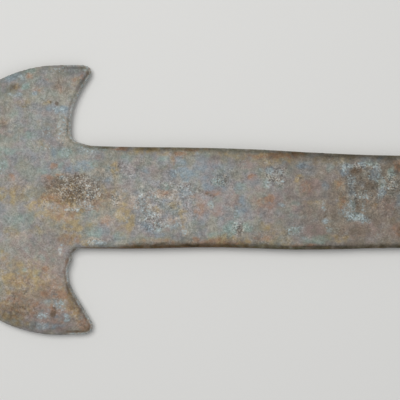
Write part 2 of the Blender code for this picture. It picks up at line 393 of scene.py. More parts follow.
    },
    "rust": {
        "right of the grit": (197, 214, 6, 8, 0.50),
        "arch's right leg": (62, 204, 11, 5, 0.66),
        "lower root": (70, 239, 13, 7, 0.48),
        "upper band's field": (274, 155.5, 28, 4, 0.66, 2),
        "lower edge's red": (216, 243, 34, 5, 0.62),
        "lower edge": (160, 243, 34, 5, 0.45),
        "arc's second": (190, 196, 10, 4, 0.35),
        "orange of the shank": (215, 213, 7, 6, 0.30),
        "patch's left lobes": (50, 184, 10, 7, 0.40),
        "horn's field": (56, 300, 26, 28, 0.40),
        "low left field": (18, 305, 26, 16, 0.50),
        "patch's field": (72, 192, 24, 12, 0.35),
        "patch's lower right": (92, 205, 14, 9, 0.50),
        "upper orange": (28.5, 77, 5, 2.5, 0.75),
        "upper red": (46.7, 79, 3, 2, 0.70),
        "pink spot": (39.4, 89.7, 5, 3, 0.75),
        "middle blush": (60, 87, 4, 9, 0.42),
        "horn's first red": (82, 77.6, 3, 2.5, 0.85),
        "horn's second red": (88, 71, 3, 5, 0.85),
        "horn's orange": (76, 82, 4, 5, 0.45),
        "blade's dot": (45, 133, 3.5, 3.5, 0.45),
        "left edge": (4, 123, 7, 4, 0.40),
        "left middle": (12, 177, 5, 5, 0.65),
        "over the patch": (54.4, 166, 5, 4, 0.80),
        "patch's red": (60, 175.3, 5, 2, 0.90),
        "patch's left": (50, 177, 9, 3, 0.75),
        "arch's crown": (51, 197, 9, 4, 0.85),
        "under the arch": (64, 214, 17, 10, 0.58),
        "neck's pink": (107, 220.3, 7, 5, 0.95),
        "upper edge": (180, 154, 7, 4, 0.80),
        "edge's brown": (191, 150, 7, 2, 0.80),
        "under the edge": (173, 161, 3, 5, 0.60),
        "shank's arc": (162, 194, 12, 4, 0.62),
        "grit's orange": (134, 204, 5, 5, 0.50),
        "grit's pink": (173, 220, 5, 3, 0.70),
        "lower edge's pink": (196, 240, 7, 3, 0.85),
        "crease's lip": (212, 193, 9, 3, 0.50),
        "below the crease": (200, 207, 5, 8, 0.55),
        "wide shank": (265, 204, 16, 10, 0.35),
        "shank's orange": (267, 200, 8, 5, 1.00, 8),
        "left of the shank's orange": (260, 203, 6, 5, 0.60),
        "left of the star": (251, 177, 5, 4, 0.60),
        "far shank": (305, 187, 8, 7, 0.50),
        "upper band": (292, 155, 14, 4, 0.80, 3),
        "left of the crust": (337, 184, 5, 7, 0.50),
        "left of the crust's foot": (341, 201, 4, 10, 0.65),
        "crust's brown": (355, 171, 5, 3, 0.80),
        "crust's pink": (365, 200.5, 3, 2, 0.50),
        "crust's orange": (373, 206, 4, 4, 0.60),
        "butt's orange": (396.5, 166, 5, 6, 1.00),
        "butt's middle": (385, 207, 9, 9, 0.34),
        "butt's lower": (396, 231, 8, 9, 0.50),
        "butt": (352, 232, 26, 10, 0.22),
        "root's edge": (121, 148.5, 10, 2.5, 0.80),
        "brown lip": (150, 245, 20, 2, 0.60),
        "lower shank": (262, 237, 12, 5, 0.50),
        "lower lip": (302, 245, 18, 2.5, 0.60),
        "small orange": (46, 269, 5, 4, 0.70),
        "blade's brown": (57, 283, 8, 9, 0.45),
        "horn's brown": (60, 295, 8, 5, 1.00),
        "horn's left": (36, 304, 4, 5, 0.80),
        "horn's middle": (45, 293, 5, 4, 0.80),
        "horn's dark red": (35, 313, 4, 4.5, 0.60),
        "horn's red streak": (53, 312, 3.2, 8, 0.92),
        "horn's tip": (85, 325, 8, 7, 0.85, -30),
        "horn's strip": (75, 310, 5, 10, 0.35, 23),
        "lower brown": (20, 310, 13, 7, 0.60),
        "blade's orange": (22, 279, 12, 9, 0.35),
        "lower left": (4, 262, 8, 6, 0.35),
        "right of the patch": (104, 197, 10, 7, 0.40),
    },
    # Dirt with painted shade along the shank's edges
    "grime_and_edge_shade": {
        "upper brown": (286, 154, 22, 6, 0.42, 3),
        "upper olive": (330, 155, 24, 6, 0.55, 3),
        "butt's upper band": (376, 157, 30, 7, 0.25),
        "brown lip": (160, 246, 32, 4, 0.60),
        "lower lip": (296, 248, 50, 4, 0.50),
        "butt's lower band": (370, 247, 36, 5, 0.40),
    },
    "umber": {
        "crease": (207, 193.6, 10, 1.2, 0.80, -26),
        "patch's foot": (82, 201, 13, 5, 0.22),
        "horn's dark red": (34, 313, 3.5, 4, 0.35),
        "throat's crack": (73.2, 251, 5, 1.1, 0.90, 48),
        "crust's field": (362, 178, 20, 12, 0.35),
        "patch's right": (93, 189, 14, 15, 0.64),
        "dark patch": (74, 187, 26, 15, 0.66),
        "dark patch's heart": (73, 191, 13, 8, 0.85),
        "dark patch's left end": (49, 183, 11, 8, 0.48),
        "low left field": (23, 308, 24, 13, 0.32),
        "lower left": (12, 312, 12, 7, 0.36),
        "lower middle": (21, 309, 14, 10, 0.50),
        "lower middle's right": (34, 309, 5, 6, 0.45),
        "right vein": (26.5, 291, 1.5, 7.5, 0.60, -30),
        "left vein": (14, 296, 1.3, 6, 0.70, 15),
        "red streak": (53.3, 312.5, 2.4, 7.5, 0.66),
        "brown egg": (14.5, 87, 6.5, 4, 0.72, 10),
        "horn's tip": (88, 72, 4, 4, 0.50),
        "lower tip": (87, 327, 6, 4, 0.45, -30),
        "crust's island": (367, 186, 8, 5, 0.70, -20),
        "island's right": (375, 183, 4, 3.5, 0.75, -30),
        "crust's brown": (355, 171, 6, 3.4, 1.00),
        "crust's hollow": (372, 172, 3.5, 2.5, 0.60),
        "crust's floor": (356, 205, 2.8, 4.5, 0.50),
        "first small pit": (51.5, 103.3, 1.8, 1.5, 0.90),
        "second small pit": (57.3, 104.3, 2.2, 1.5, 0.90),
        "pit": (238, 229, 3.0, 3.0, 1.00),
        "ringed pit": (299.7, 179, 1.4, 1.4, 1.00),
        "brown lip": (158, 244.5, 28, 1.8, 0.50),
        "lip's end": (192, 246, 14, 1.8, 0.80),
        "dark line": (308, 247, 38, 1.3, 0.70),
        "olive vein": (24, 106.5, 5, 1.2, 0.50, -28),
        "butt's orange": (397, 166, 4, 5, 0.60),
        "ringed dot": (323.8, 215, 2.5, 3, 0.50),
    },
    "frost": {
        "blade's dot": (46, 132, 6, 6, 0.32),
        "bar's foot": (363, 221, 7, 3, 0.55),
        "grit's blue": (144, 215, 5, 7, 0.45),
        "far left edge": (1, 167, 6, 8, 0.42),
        "throat's left": (51, 148, 6, 5, 0.40),
        "throat's middle": (62, 128, 6, 14, 0.46),
        "upper rim's top": (60, 70, 10, 4, 0.36),
        "under the sky": (173, 181, 6, 5, 0.40),
        "grit's shoulder": (152, 196, 5, 5, 0.44),
        "grit's lilac": (148, 212, 5, 7, 0.50),
        "root's top": (94, 149, 15, 4, 0.72),
        "far shank": (293, 230, 10, 7, 0.36),
        "crust's lower left": (345, 210, 9, 8, 0.48),
        "round the dot": (186, 193, 8, 5, 0.62),
        "left of the sky": (173, 175, 6, 7, 0.34),
        # Painted highlight on the upper horn's tip
        "upper tip": (86, 69.5, 6, 2, 0.70, -20),
        "upper rim": (12, 76, 11, 3, 0.40, 20),
        "under the egg": (18, 95.5, 5, 2.5, 0.70),
        "left under the egg": (10.5, 94.5, 3, 2, 0.55),
        "by the pink spot": (34, 94.5, 2.5, 2.5, 0.65),
        "over the egg": (22, 77, 5, 4, 0.80),
        "sky patch": (60.5, 110, 7, 4.5, 0.50),
        "patch's corner": (62.5, 178, 3.5, 2.5, 0.70),
        "patch's upper right": (98, 178, 5, 4, 0.35),
        "patch's right": (92, 191, 12, 10, 0.34),
        "patch's lower right": (84.5, 203.5, 4.5, 3.5, 0.55),
        "crest": (73, 209.5, 8, 2.4, 0.85, -3),
        "column by the patch": (115, 199, 4, 8, 0.30),
        "arch's pearl": (48.5, 205, 3.5, 2.5, 0.45),
        "mint patch": (65, 152, 6, 6, 0.35),
        "grit's top": (141, 196, 3, 4, 0.75),
        "grit's field": (153, 221, 14, 9, 0.30),
        "grit's head": (152, 215, 4, 2.5, 0.80),
        "grit's foot": (159, 229, 4, 3, 0.85),
        "grit's right": (166, 225, 3, 2, 0.80),
        "blue of the grit": (148, 204.5, 3, 3, 0.60),
        "lone spark": (183.8, 232.3, 2.7, 2.4, 1.00),
        "dot over the crease": (184.6, 191.3, 2.4, 2, 0.90),
        "shank sky": (180, 173, 10, 4, 0.35),
        "edge's dot": (195.4, 154.2, 3, 1.6, 0.70),
        "by the crease": (218, 180.5, 6, 3.5, 0.55),
        "small oval": (210.6, 204.6, 3, 4.5, 0.75),
        "pit's halo": (232, 226, 7, 7, 0.22),
        "over the halo": (236, 214, 4, 5, 0.40),
        "star": (268.5, 171, 3.5, 4.5, 0.90),
        "left of the star": (261, 170.5, 4, 1.6, 0.60),
        "first small star": (279, 173, 2, 2, 0.85),
        "second small star": (275.5, 184, 2.5, 1.5, 0.95),
        "third small star": (282.5, 182, 3, 2, 0.95, 20),
        "pale oval": (266, 185, 4, 5, 0.60),
        "lilac dot": (281, 205, 3, 2, 0.70),
        "bow": (290, 231, 6, 2, 0.60, -30),
        "bow's foot": (302, 237.5, 9, 1.4, 0.60, -6),
        "spark": (327, 230, 3.4, 2.5, 0.80),
        "column": (322, 207.5, 1.8, 6, 0.80),
        "ringed dot": (324, 221, 3.6, 2.5, 0.80),
        "ring's corner": (342.2, 168.5, 3.5, 4, 1.00),
        "ring's left": (349, 166, 6, 2.5, 0.70, 10),
        "ring's top": (362, 164, 11, 2.2, 0.75),
        "ring's bend": (374, 167, 4, 3.2, 0.80),
        "ring's right": (377.5, 174, 2.2, 6, 0.85),
        "ring's right foot": (380.5, 183, 2, 6, 0.80),
        "ridge": (369, 178, 8, 1.3, 0.70, -23),
        "tip": (390, 174, 4, 5, 0.65),
        "right net": (390, 187, 9, 9, 0.30),
        "blue foot": (379.5, 195, 3, 5, 0.90),
        "knee": (385.5, 188.5, 3, 2.5, 0.70),
        "left streak": (348.5, 204, 2, 7, 0.95),
        "bar": (357.5, 217.5, 10, 3.2, 1.00, -14),
        "bar's upper end": (347, 213, 4.5, 3, 0.80, -30),
        "left field": (350, 181, 6, 6, 0.50),
        "middle field": (361, 196, 9, 5, 0.50),
        "floor's right": (362, 207, 3, 5, 0.50),
        "lower horn's pearl": (66.5, 317.5, 3.6, 4.2, 1.00),
        "lower horn's bar": (43, 315.5, 8, 3, 0.85),
        "lower horn's field": (60, 305, 7, 6, 0.50),
        "lower rim": (40, 326, 16, 4, 0.32),
        "root's gleam": (98, 242.5, 10, 2.4, 0.90),
        "by the throat": (61, 249, 3, 6, 0.70),
        "throat's pale": (46, 147, 10, 5, 0.32),
        "under the arch": (55, 208, 9, 6, 0.20),
        "past the crest": (88, 208, 6, 6, 0.55),
        "neck": (108, 217, 12, 7, 0.12),
        "grit's left": (141, 204, 11, 9, 0.42),
        "over the dot": (185, 187, 9, 8, 0.32),
        "grit's lower right": (176, 225, 7, 6, 0.45),
        "bar's left": (350, 217, 7, 5, 1.00),
    },
    "cream": {
        "neck's left": (97, 218, 7, 5, 0.55),
        "neck's foot": (113, 218, 8, 8, 0.40),
        "left middle's foot": (47, 228, 8, 7, 0.36),
        "crust's orange": (373, 207, 11, 8, 0.60),
        "neck's blue": (99, 171, 6, 7, 0.50),
        "lower left": (5, 305, 6, 6, 0.50),
        "under the crest": (71, 213, 9, 4, 0.36),
        "ring's corner": (346, 172, 5, 5, 0.36),
        "far field": (314, 206, 12, 7, 0.36),
        "crease's right": (224, 178, 7, 5, 0.40),
        "root's upper field": (92, 162, 12, 8, 0.30),
        "under the arch": (70, 215, 9, 6, 0.55),
        "shank's orange": (257, 202, 8, 6, 0.50),
        "small oval": (208, 208, 8, 7, 0.42),
        "butt": (355, 231, 9, 6, 0.36),
        "crust's lower right": (373, 199, 10, 9, 0.52),
        # Painted highlight on the lower horn's tip
        "lower tip": (89.5, 320, 3, 4, 1.00, 25),
        "grit's blue": (147, 204, 6, 13, 0.62),
        "arch's field": (56, 210, 15, 7, 0.46),
        "arch's pearl": (50, 205, 7, 5, 0.45),
        "past the crest": (85, 203, 7, 4, 1.00),
        "crest": (72, 209, 9, 3, 1.00),
        "shank's arc": (166, 195, 18, 5, 0.85),
        "grit's orange": (134, 204, 7, 8, 0.65),
        "grit's top": (143, 197, 6, 5, 0.60),
        "neck's pink": (107, 218, 8, 6, 0.60),
        "yellow spot": (121, 213, 7, 6, 0.35),
        "grit's pink": (173, 220, 8, 5, 0.70),
        "grit's field": (158, 212, 12, 8, 0.25),
        "lone spark": (184, 232, 4, 4, 1.00),
        "root's gleam": (97, 240, 12, 3, 0.65),
        "by the throat": (60, 249, 6, 7, 0.60),
        "left middle": (24, 236, 10, 7, 0.45),
        "patch's right": (95, 192, 14, 12, 0.34),
        "right of the column": (116, 197, 7, 9, 0.65),
        "below the crease": (199, 203, 6, 9, 0.35),
        "stars": (277, 178, 9, 7, 0.35),
        "throat": (64, 131, 8, 16, 0.66),
        "throat's left": (42, 146, 12, 6, 0.35),
        "root": (98, 148, 20, 4, 0.40),
    },
    "grit": {
        "patch's right": (91, 193, 13, 14, 1.00),
        "patch": (76, 190, 28, 17, 1.00),
        "column": (115, 200, 6, 10, 0.80),
        "field": (153, 221, 16, 12, 0.85),
        "shank": (165, 200, 36, 24, 0.50),
        "by the crease": (220, 180, 12, 7, 0.90),
        "stars": (274, 177, 14, 10, 0.90),
        "crust": (365, 190, 34, 28, 0.45),
        "right net": (391, 184, 10, 15, 1.00),
        "middle field": (358, 197, 11, 10, 0.80),
        "left field": (351, 183, 9, 9, 0.80),
        "ring's top": (362, 166, 20, 4, 0.90),
        "bar": (357, 217, 11, 4, 0.80, -14),
        "over the crease": (186, 187, 12, 7, 0.60),
        "pit's halo": (238, 228, 9, 8, 0.90),
        "neck": (120, 172, 22, 11, 0.45),
        "root's edge": (95, 242, 10, 3, 0.70),
        "grit's top": (141, 197, 5, 6, 0.70),
        "crest": (73, 210, 9, 3, 0.80),
    },
}

# Kinds also spread by chance: strength, and size of a patch in mm
SPREAD = {
    "earth": (0.55, 12.0),
    "painted_shade_and_dark_tone": (0.20, 14.0),
    "slate": (0.55, 7.0),
    "verdigris": (0.50, 7.0),
    "mauve": (0.60, 7.0),
    "ochre": (0.42, 5.0),
    "rust": (0.34, 4.0),
    "grime_and_edge_shade": (0.10, 9.0),
    "umber": (0.18, 5.0),
    "frost": (0.34, 5.0),
    "cream": (0.22, 4.0),
    "grit": (0.45, 6.0),
}

# Share of them left on the upper face, and the chance values between which a patch rises
CHANCE_ON_PLACED_FACE = 0.45
CHANCE_RISE = (0.0, 0.75)

# A stain is full up to the first share of its half width and gone at the second
STAIN_FADE = (0.30, 1.45)

# Pushes that make the stains' outlines ragged: size and reach in mm, and the first seed
PUSHES = ((4.0, 0.6, 1), (1.4, 0.5, 3))

# Grooves in the upper face, in pixels of the photograph: the line's points, its half width and its depth
GROOVES = {
    "crease": (((195, 189), (200, 190), (205, 192), (210, 196), (215, 198)), 0.9, 0.9),
    "brown lip": (((130, 244), (155, 243.5), (180, 243.5), (198, 244.5)), 0.9, 0.6),
    "dark line": (((270, 246.5), (298, 247), (322, 247), (346, 246.5)), 0.8, 0.7),
    "right vein": (((30.3, 284.7), (27, 291), (23, 297.4)), 0.9, 0.25),
    "left vein": (((12.4, 290), (14, 296), (16, 303)), 0.8, 0.2),
    "olive vein": (((16.4, 102.4), (27.3, 108.5)), 0.9, 0.2),
    "throat's crack": (((70.5, 254.5), (73, 250.8), (76.5, 247.8)), 0.8, 0.6),
}

# Pits in the upper face, in pixels of the photograph: across, down, radius and depth
PITS = {
    "pit": (238, 229, 3.0, 1.1),
    "crust's floor": (355, 205, 3.8, 0.6),
    "bar's first pit": (354, 216.3, 1.2, 0.5),
    "bar's second pit": (365, 218.4, 1.2, 0.5),
    "bar's third pit": (361.6, 220.4, 1.0, 0.4),
    "ringed dot's pit": (323.8, 220.9, 1.2, 0.5),
    "ringed pit": (299.7, 179.1, 1.4, 0.6),
    "first small pit": (51.5, 103.3, 1.6, 0.5),
    "second small pit": (57.3, 104.3, 1.8, 0.5),
    "star's foot": (268.5, 178.6, 1.2, 0.4),
    "between the stars": (279, 183, 1.4, 0.5),
    "horn's dark dot": (56, 92, 1.2, 0.3),
    "crust's island": (369, 185, 7.0, 0.35),
}

# Shares of a groove's half width or a pit's radius where its floor ends and where its rim is
GROOVE_FADE = (0.2, 1.6)
PIT_FADE = (0.3, 1.3)

# How far chance pushes the grooves and pits aside, in mm
GROOVE_PUSH = 0.25

# Chance values: falloff and ratio of their octaves, and how many octaves patches and finer forms have
CLOUD_FALLOFF = 1.0
CLOUD_RATIO = 2.0
PATCH_OCTAVES = 3
FINE_OCTAVES = 2

# Seeds of the chance values, and how far one seed moves them along each axis
FIRST_STAIN_SEED = 11
HAMMER_SEED = 33
RAGGED_SEED = 34
SEED_STEP = (17.3, 5.1, 9.7)

# Layers of the corrosion's grain: how much finer than the grain size, strength and seed
GRAIN_LAYERS = ((1.0, 0.6, 31), (2.2, 0.5, 32))

# Size in mm of the raggedness of crust, dirt and grooves
RAGGED_SIZE = 1.4

# Depth that the attribute for hollows spans, in grain depths
HOLLOW_SPAN = 4

# Share of each relief that is left where it is weakest
MARGIN_ON_WALLS = 0.30
HAMMER_ON_WALLS = 0.35
GRAIN_ON_SMOOTH_SKIN = 0.30
GRAIN_ON_BARE_METAL = 0.50
CRUST_ON_SMOOTH_SKIN = 0.35

# Crust that stands up and dirt that lies low: the stain's kind, its raggedness and where it rises
CRUST = ("frost", 0.45, (0.45, 0.8))
DIRT = ("umber", 0.3, (0.5, 0.9))

# Depth of the dirt as a share of the crust's height
DIRT_DEPTH = 0.5

# Distance in mm within which the solid's points are joined
JOIN_DISTANCE = 0.001

# Height in mm of the upright strips that stand for the side walls when a rim is measured
STRIP_HEIGHT = 1

# Upward part of a normal: on a wall, from wall to face, from arris to face, and from below to above
UPRIGHT = 0.05
WALL_TO_FACE = (0.3, 0.8)
ARRIS_TO_FACE = (0.2, 0.7)
BELOW_TO_ABOVE = (-0.2, 0.4)

# Stretches of the head, in mm from its middle: where each begins and where it is full
HORNS_OUTWARDS = (19.5, 21.5)
BEHIND_BLADE = (-50.0, -47.0)
SHANK = (-44.0, -38.0)
SHANK_WALLS = (-46.0, -40.0)
LOWER_HALF = (-8.0, 8.0)
PAST_RUSTY_EDGE = (10.0, 30.0)
BUTT_HALF = (15.0, 40.0)

# Band of dirt and painted shade along the shank's edges, in mm: start, rise, how much later it starts
# below, and fade
BAND_START = -46.0
BAND_RISE = 9.0
BAND_LATER_BELOW = 15.0
BAND_FADE = (-0.5, 3.6)

# Strength of that band, and what changes it from place to place; it is stronger below, where the painted
# shade of the edge facing away from the light is deeper
BAND_STRENGTH = 0.62
BAND_MORE_BELOW = 0.30
BAND_ON_BLADE = 0.15
BAND_LOSS_AT_BUTT = 0.18
BAND_LOSS_ON_HORNS = 0.6
BAND_ON_WALLS = 0.55
RUST_ON_BAND = 0.95

# Pale rim of the horns' inner edges, wear on the arris and painted highlight on the walls, and the dark
# line inside it, in mm from the rim
PALE_RIM_FADE = (0.2, 0.8)
PAINTED_WALL_HIGHLIGHT = 0.8
FROST_ON_PALE_RIM = 0.7
DARK_LINE_RISE = (0.5, 0.9)
DARK_LINE_FADE = (1.2, 2.2)
DARK_LINE_STRENGTH = 0.45

# Metal's own skin: shift and size of a noise in mm, its detail and roughness, and where the greys turn
BROAD_GROUND = (3, 5.5, 2.0, 0.5)
BROAD_TURN = (0.40, 0.60)
NARROW_GROUND = (23, 3.4, 2.0, 0.5)
NARROW_TURN = (0.38, 0.62)

# Films laid on the skin, the lowest first: shift and grain size in mm, raggedness and cover
FILMS = {
    "earth": (13, 3.5, 0.4, 0.95),
    "mauve": (26, 2.2, 0.6, 0.76),
    "slate": (39, 2.4, 0.6, 0.75),
    "verdigris": (52, 2.4, 0.6, 0.75),
    "ochre": (65, 1.9, 0.7, 0.70),
    "rust": (78, 1.7, 0.7, 0.74),
    "umber": (91, 1.3, 0.9, 0.74),
    "cream": (104, 1.2, 1.0, 0.60),
    "frost": (117, 0.9, 1.1, 0.38),
}

# Films that tint all that is under them, in the same form: painted shade with some darker tone, and dirt
# with painted shade along the shank's edges
SHADES = {
    "painted_shade_and_dark_tone": (143, 3.0, 0.3, 1.0),
    "grime_and_edge_shade": (156, 3.0, 0.3, 1.0),
}

# Nets of veins: shift and size in mm, width, strength, and how much stronger where it is gritty
PALE_VEINS = (171, 2.0, 0.06, 0.26, 0.30)
DARK_VEINS = (191, 2.4, 0.05, 0.40, 0.50)

# Specks: the mask and the colour they take, their strength, shift and size in mm, and threshold
SPECKS = {
    "gaps": ("grit", "umber", 0.60, 131, 0.60, 0.66),
    "powder": ("frost", "frost", 0.80, 151, 0.80, 0.62),
    "white": ("grit", "chalk", 0.60, 101, 0.65, 0.69),
}

# Grain of the whole finish: shift and size in mm, detail and roughness, then its darkest and palest grey
FINE_GRAIN = (57, 0.60, 2.0, 0.8)
FINE_GREYS = (0.40, 1.60)
MEDIUM_GRAIN = (77, 1.5, 2.0, 0.6)
MEDIUM_GREYS = (0.60, 1.40)
COARSE_GRAIN = (97, 4.0, 3.0, 0.6)
COARSE_GREYS = (0.90, 1.10)

# Greys of the relief from high to low, and the values between which every grey swings
HOLLOW_GREYS = (1.06, 0.88)
GREY_SWING = (0.3, 0.7)

# Strength of the grain on smooth skin, and how much stronger where it is gritty
GRAININESS = 0.39
MORE_IF_GRITTY = 0.60

# Shine of the finish: its mirror part, and how bare metal and powder change the roughness
SPECULAR = 0.3
BARE_METAL_ROUGHNESS = -0.12
POWDER_ROUGHNESS = 0.40

# Bump of the finish: strength, depth in mm, and the parts of the grain, the white grains and the powder
BUMP_STRENGTH = 0.8
BUMP_DEPTH = 0.12
GRAIN_BUMP = 0.4
WHITE_BUMP = 0.4
POWDER_BUMP = 0.5

# Direction in which the noises of two layers are moved apart
SHIFT_WAY = (1.0, 0.7, 0.4)

# Places of the sockets of a Mix node for colours
MIX_FACTOR = 0
MIX_UNDER = 6
MIX_OVER = 7
MIX_RESULT = 2

# Inside the node groups: detail and roughness of each noise, its middle, and the limits of each rise
NOISE_MIDDLE = 0.5
FILM_NOISE = (1.0, 0.5)
FILM_SWING = 4.5
FILM_RISE = (0.02, 0.92)
SPECK_NOISE = (2.0, 0.6)
SPECK_LIFT = 0.16
SPECK_SOFTNESS = 0.09
SPECK_RISE = (0.02, 0.30)
VEIN_NOISE = (3.0, 0.65)
VEIN_BREAK_SCALE = 0.45
VEIN_BREAK_NOISE = (1.0, 0.5)
VEIN_BREAK_RISE = (0.40, 0.62)

# Soft lights: place and side in metres, and colour
LIGHTS = {
    "key": ((-0.16, 0.24, 0.74), 0.50, (1.0, 1.0, 0.99)),
    "fill": ((0.55, -0.45, 0.80), 0.90, (0.98, 0.99, 1.0)),
}

# Rest of the studio: the light from all round, the floor's shine and the camera's sensor in mm
SKY_COLOUR = (0.98, 0.99, 1.0)
FLOOR_ROUGHNESS = 0.9
FLOOR_SPECULAR = 0.1
SENSOR_WIDTH = 36.0


def length_setting(name, description, default):
    """A setting for a length."""
    return FloatProperty(
        name=name, description=description, default=default, unit="LENGTH", subtype="DISTANCE"
    )


def power_setting(name, description, default):
    """A setting for a light's power."""
    return FloatProperty(name=name, description=description, default=default, unit="POWER")


def colour_setting(name, description, default):
    """A setting for a colour."""
    return FloatVectorProperty(
        name=name, description=description, default=default, subtype="COLOR", min=0, max=1
    )


class ReliefSettings(bpy.types.PropertyGroup):
    """Sizes of the weathered surface."""

    mesh_size: length_setting("Mesh size", "Size of a face of the fine mesh", 0.00050)
    margin: length_setting("Margin", "How far the mean surface lies inside the solid", 0.00010)
    hammer_size: length_setting("Hammer size", "Width of a hammered facet", 0.012)
    hammer_depth: length_setting("Hammer depth", "Depth of a hammered facet", 0.00016)
    grain_size: length_setting("Grain size", "Width of the corrosion's grain", 0.0016)
    grain_depth: length_setting("Grain depth", "Depth of the grain where the surface is gritty", 0.00010)
    crust_height: length_setting("Crust height", "How far the pale crust stands up", 0.00012)
    arris_width: length_setting("Arris width", "Width of the worn slope along the shank's edges", 0.0026)
    arris_drop: length_setting("Arris drop", "How far the worn slope falls at the rim", 0.00055)


class PatinaSettings(bpy.types.PropertyGroup):
    """Colours of the metal and of each kind of corrosion."""

    grey_ground: colour_setting("Grey ground", "Blue-grey skin of the metal", (0.272, 0.280, 0.287))
    sand_ground: colour_setting("Sand ground", "Yellow-grey skin of the metal", (0.314, 0.300, 0.252))
    lilac_ground: colour_setting("Lilac ground", "Pinkish grey skin of the metal", (0.312, 0.280, 0.274))
    olive_ground: colour_setting("Olive ground", "Green-grey skin of the metal", (0.272, 0.290, 0.256))
    earth: colour_setting("Earth", "Brown cast of whole stretches of the head", (0.270, 0.222, 0.172))
    # Painted shade, darker towards the butt and along the rims, with some darker tone of its own
    painted_shade_and_dark_tone: colour_setting("Dusk", "Tint that darkens whole stretches", (0.600, 0.585, 0.560))
    # Dirt along the shank's edges, with painted shade of their rounded slopes and walls
    grime_and_edge_shade: colour_setting("Grime", "Tint of the dirt along the shank's edges", (0.300, 0.255, 0.140))
    slate: colour_setting("Slate", "Smooth blue-grey film", (0.220, 0.290, 0.345))
    chalk: colour_setting("Chalk", "White grains in the gritty stretches", (0.54, 0.53, 0.49))
    frost: colour_setting("Frost", "Pale blue-white powder", (0.46, 0.55, 0.57))
    cream: colour_setting("Cream", "Pale powder with a warm cast", (0.47, 0.39, 0.315))
    verdigris: colour_setting("Verdigris", "Dull blue-green film", (0.262, 0.345, 0.310))
    ochre: colour_setting("Ochre", "Yellow earth stain", (0.40, 0.295, 0.130))
    rust: colour_setting("Red oxide", "Orange-brown copper oxide", (0.35, 0.200, 0.120))
    mauve: colour_setting("Bare metal", "Smooth pinkish brown of a thin skin", (0.322, 0.240, 0.222))
    umber: colour_setting("Dirt", "Dark brown dirt", (0.130, 0.095, 0.062))
    roughness: FloatProperty(
        name="Roughness", description="Roughness of the plain skin", default=0.62, min=0, max=1,
    )


class StageSettings(bpy.types.PropertyGroup):
    """Floor, light and camera."""

    floor_colour: colour_setting("Floor", "Colour of the floor", (0.76, 0.755, 0.74))
    floor_size: length_setting("Floor size", "Side of the square floor", 4.0)
    key_power: power_setting("Key light", "Power of the main soft light", 4.07)
    fill_power: power_setting("Fill light", "Power of the second soft light", 1.6)
    sky: FloatProperty(
        name="Surrounding light", description="Strength of the light from all round", default=0.28,
    )
    camera_height: length_setting("Camera height", "Height of the camera over the upper face", 0.40)
    view_width: length_setting("View width", "Width of the picture at the head's middle height", 0.148)
    view_centre: FloatVectorProperty(
        name="View centre", description="Point of the upper face in the middle of the picture",
        default=(0.0016, 0.0), size=2, unit="LENGTH",
    )


def merged_copy(node_name):
    """The solid's mesh as one joined skin, in a mesh of its own."""
    bm = bmesh.new()
    bm.from_mesh(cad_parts[node_name].data)
    bmesh.ops.remove_doubles(bm, verts=bm.verts[:], dist=JOIN_DISTANCE * MM)
    mesh = bpy.data.meshes.new(PIECE)
    bm.to_mesh(mesh)
    bm.free()
    return mesh


def fine_mesh(coarse, face_size):
    """The same closed shape in small even faces."""
    carrier = bpy.data.objects.new("coarse", coarse)
    bpy.context.scene.collection.objects.link(carrier)
    remesh = carrier.modifiers.new("remesh", "REMESH")
    remesh.mode = "VOXEL"
    remesh.voxel_size = face_size
    target = bpy.data.objects.new("target", coarse)
    bpy.context.scene.collection.objects.link(target)
    snap = carrier.modifiers.new("snap", "SHRINKWRAP")
    snap.target = target
    snap.wrap_method = "NEAREST_SURFACEPOINT"
    depsgraph = bpy.context.evaluated_depsgraph_get()
    mesh = bpy.data.meshes.new_from_object(carrier.evaluated_get(depsgraph))
    bpy.data.objects.remove(carrier)
    bpy.data.objects.remove(target)
    bpy.data.meshes.remove(coarse)
    mesh.name = PIECE
    return mesh


def read_points(mesh):
    """Places and normals of every point, as arrays, the places in millimetres."""
    places = np.empty(len(mesh.vertices) * 3, np.float32)
    normals = np.empty(len(mesh.vertices) * 3, np.float32)
    mesh.vertices.foreach_get("co", places)
    mesh.vertices.foreach_get("normal", normals)
    return places.reshape(-1, 3).astype(float) / MM, normals.reshape(-1, 3).astype(float)


def clouds(places, size, seed, octaves):
    """Smooth chance values round 0, about -1 to 1, with patches of the given size."""
    offset = Vector([seed * step for step in SEED_STEP])
    return np.array([
        noise.fractal(Vector(place) / size + offset, CLOUD_FALLOFF, CLOUD_RATIO, octaves)
        for place in places
    ])


def ramp(values, low, high):
    """0 below low, 1 above high, and a smooth rise between them."""
    share = np.clip((values - low) / (high - low), 0, 1)
    return share * share * (3 - 2 * share)


def rising(least, share):
    """Rises from the least value to 1 as the share goes from 0 to 1."""
    return least + (1 - least) * share


def warped(places):
    """The places pushed about at two sizes, so that round patches get ragged outlines."""
    moved = places[:, :2].copy()
    for axis in (0, 1):
        for size, reach, first_seed in PUSHES:
            moved[:, axis] += reach * clouds(places, size, first_seed + axis, FINE_OCTAVES)
    return moved


def on_head(across, down):
    """The place on the head, in millimetres, of a pixel of the photograph."""
    return np.array(((across - MIDDLE[0]) * PIXEL, (MIDDLE[1] - down) * PIXEL))


def patch(plan, across, down, half_width, half_height, strength, turn=0):
    """One elliptical patch, full in its middle and gone at its rim."""
    angle = math.radians(turn)
    offset = plan - on_head(across, down)
    east = offset[:, 0] * math.cos(angle) + offset[:, 1] * math.sin(angle)
    north = offset[:, 1] * math.cos(angle) - offset[:, 0] * math.sin(angle)
    reach = np.hypot(east / (half_width * PIXEL), north / (half_height * PIXEL))
    return strength * (1 - ramp(reach, *STAIN_FADE))


